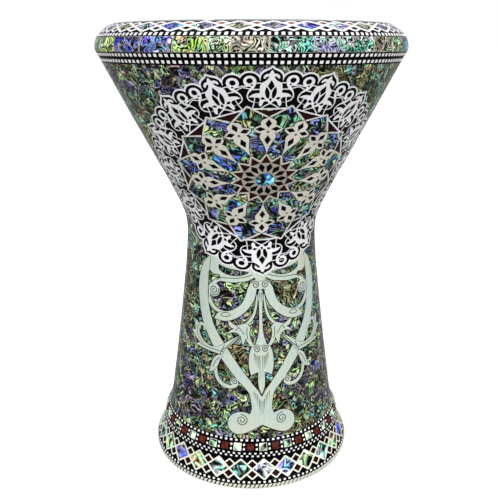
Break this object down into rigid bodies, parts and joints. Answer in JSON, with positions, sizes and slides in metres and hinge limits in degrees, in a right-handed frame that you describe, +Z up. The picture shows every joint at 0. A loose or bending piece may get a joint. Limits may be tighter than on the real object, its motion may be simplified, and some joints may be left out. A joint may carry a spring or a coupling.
{
  "type": "goblet drum",
  "caption": "Goblet-shaped hand drum with a cast shell, film head, detachable tension ring with recessed tuning bolts, and inlaid mosaic front.",
  "frame": {"origin": "centre of the foot face, on the surface the drum stands on", "axes": "+Z up along the drum's axis; the front, with its rosette, faces -Y"},
  "size_m": [0.2866, 0.2866, 0.432],
  "materials": {
    "cast_aluminium": "satin cast and polished",
    "head_film": "milky polyester film",
    "hoop_aluminium": "turned",
    "dark_abalone": "dark abalone chips set in clear resin, polished",
    "bright_abalone": "bright abalone chips set in clear resin, polished",
    "rosette_pearl": "cut mother of pearl and black resin, polished",
    "scroll_pearl": "cut mother of pearl scrollwork, polished",
    "checker_inlay": "pearl squares in black resin, polished",
    "square_inlay": "red and abalone squares in black resin, polished",
    "foot_lattice": "pearl lattice with abalone diamonds, polished",
    "rope_inlay": "cream beaded edge, polished",
    "ring_lattice": "pearl lattice with red and lilac diamonds, polished",
    "bolt_steel": "zinc plated steel"
  },
  "bodies": {
    "shell": {"shell_casting": "cast_aluminium", "drumhead_film": "head_film", "head_hoop": "hoop_aluminium", "body_abalone_veneer": "dark_abalone", "rosette_panel": "rosette_pearl", "scroll_panel": "scroll_pearl", "shell_seam_checker": "checker_inlay", "foot_upper_checker": "checker_inlay", "foot_square_band": "square_inlay", "foot_double_checker": "checker_inlay", "foot_lattice_band": "foot_lattice", "foot_lower_checker": "checker_inlay", "foot_rope_edge": "rope_inlay"},
    "ring": {"tension_ring": "cast_aluminium", "ring_lattice_band": "ring_lattice", "ring_shoulder_checker": "checker_inlay", "ring_abalone_band": "bright_abalone", "ring_seam_checker": "checker_inlay", "washer_1": "bolt_steel", "washer_2": "bolt_steel", "washer_3": "bolt_steel", "washer_4": "bolt_steel", "washer_5": "bolt_steel", "washer_6": "bolt_steel", "washer_7": "bolt_steel", "washer_8": "bolt_steel"},
    "bolt_1": {"tuning_bolt_1": "bolt_steel"},
    "bolt_2": {"tuning_bolt_2": "bolt_steel"},
    "bolt_3": {"tuning_bolt_3": "bolt_steel"},
    "bolt_4": {"tuning_bolt_4": "bolt_steel"},
    "bolt_5": {"tuning_bolt_5": "bolt_steel"},
    "bolt_6": {"tuning_bolt_6": "bolt_steel"},
    "bolt_7": {"tuning_bolt_7": "bolt_steel"},
    "bolt_8": {"tuning_bolt_8": "bolt_steel"}
  },
  "joints": [
    {"name": "ring_lift", "type": "slide", "parent": "shell", "child": "ring", "axis": [0, 0, 1], "range_m": [0, 0.008]},
    {"name": "bolt_1_turn", "type": "hinge", "parent": "ring", "child": "bolt_1", "pos_m": [0.11225, 0.0465, 0.4253], "axis": [0, 0, 1], "range_deg": [0, 2880.5]},
    {"name": "bolt_2_turn", "type": "hinge", "parent": "ring", "child": "bolt_2", "pos_m": [0.0465, 0.11225, 0.4253], "axis": [0, 0, 1], "range_deg": [0, 2880.5]},
    {"name": "bolt_3_turn", "type": "hinge", "parent": "ring", "child": "bolt_3", "pos_m": [-0.0465, 0.11225, 0.4253], "axis": [0, 0, 1], "range_deg": [0, 2880.5]},
    {"name": "bolt_4_turn", "type": "hinge", "parent": "ring", "child": "bolt_4", "pos_m": [-0.11225, 0.0465, 0.4253], "axis": [0, 0, 1], "range_deg": [0, 2880.5]},
    {"name": "bolt_5_turn", "type": "hinge", "parent": "ring", "child": "bolt_5", "pos_m": [-0.11225, -0.0465, 0.4253], "axis": [0, 0, 1], "range_deg": [0, 2880.5]},
    {"name": "bolt_6_turn", "type": "hinge", "parent": "ring", "child": "bolt_6", "pos_m": [-0.0465, -0.11225, 0.4253], "axis": [0, 0, 1], "range_deg": [0, 2880.5]},
    {"name": "bolt_7_turn", "type": "hinge", "parent": "ring", "child": "bolt_7", "pos_m": [0.0465, -0.11225, 0.4253], "axis": [0, 0, 1], "range_deg": [0, 2880.5]},
    {"name": "bolt_8_turn", "type": "hinge", "parent": "ring", "child": "bolt_8", "pos_m": [0.11225, -0.0465, 0.4253], "axis": [0, 0, 1], "range_deg": [0, 2880.5]}
  ],
  "couplings": [
    {"joint": "bolt_1_turn", "follows": "ring_lift", "rad_per_m": 6283.2},
    {"joint": "bolt_2_turn", "follows": "ring_lift", "rad_per_m": 6283.2},
    {"joint": "bolt_3_turn", "follows": "ring_lift", "rad_per_m": 6283.2},
    {"joint": "bolt_4_turn", "follows": "ring_lift", "rad_per_m": 6283.2},
    {"joint": "bolt_5_turn", "follows": "ring_lift", "rad_per_m": 6283.2},
    {"joint": "bolt_6_turn", "follows": "ring_lift", "rad_per_m": 6283.2},
    {"joint": "bolt_7_turn", "follows": "ring_lift", "rad_per_m": 6283.2},
    {"joint": "bolt_8_turn", "follows": "ring_lift", "rad_per_m": 6283.2}
  ]
}
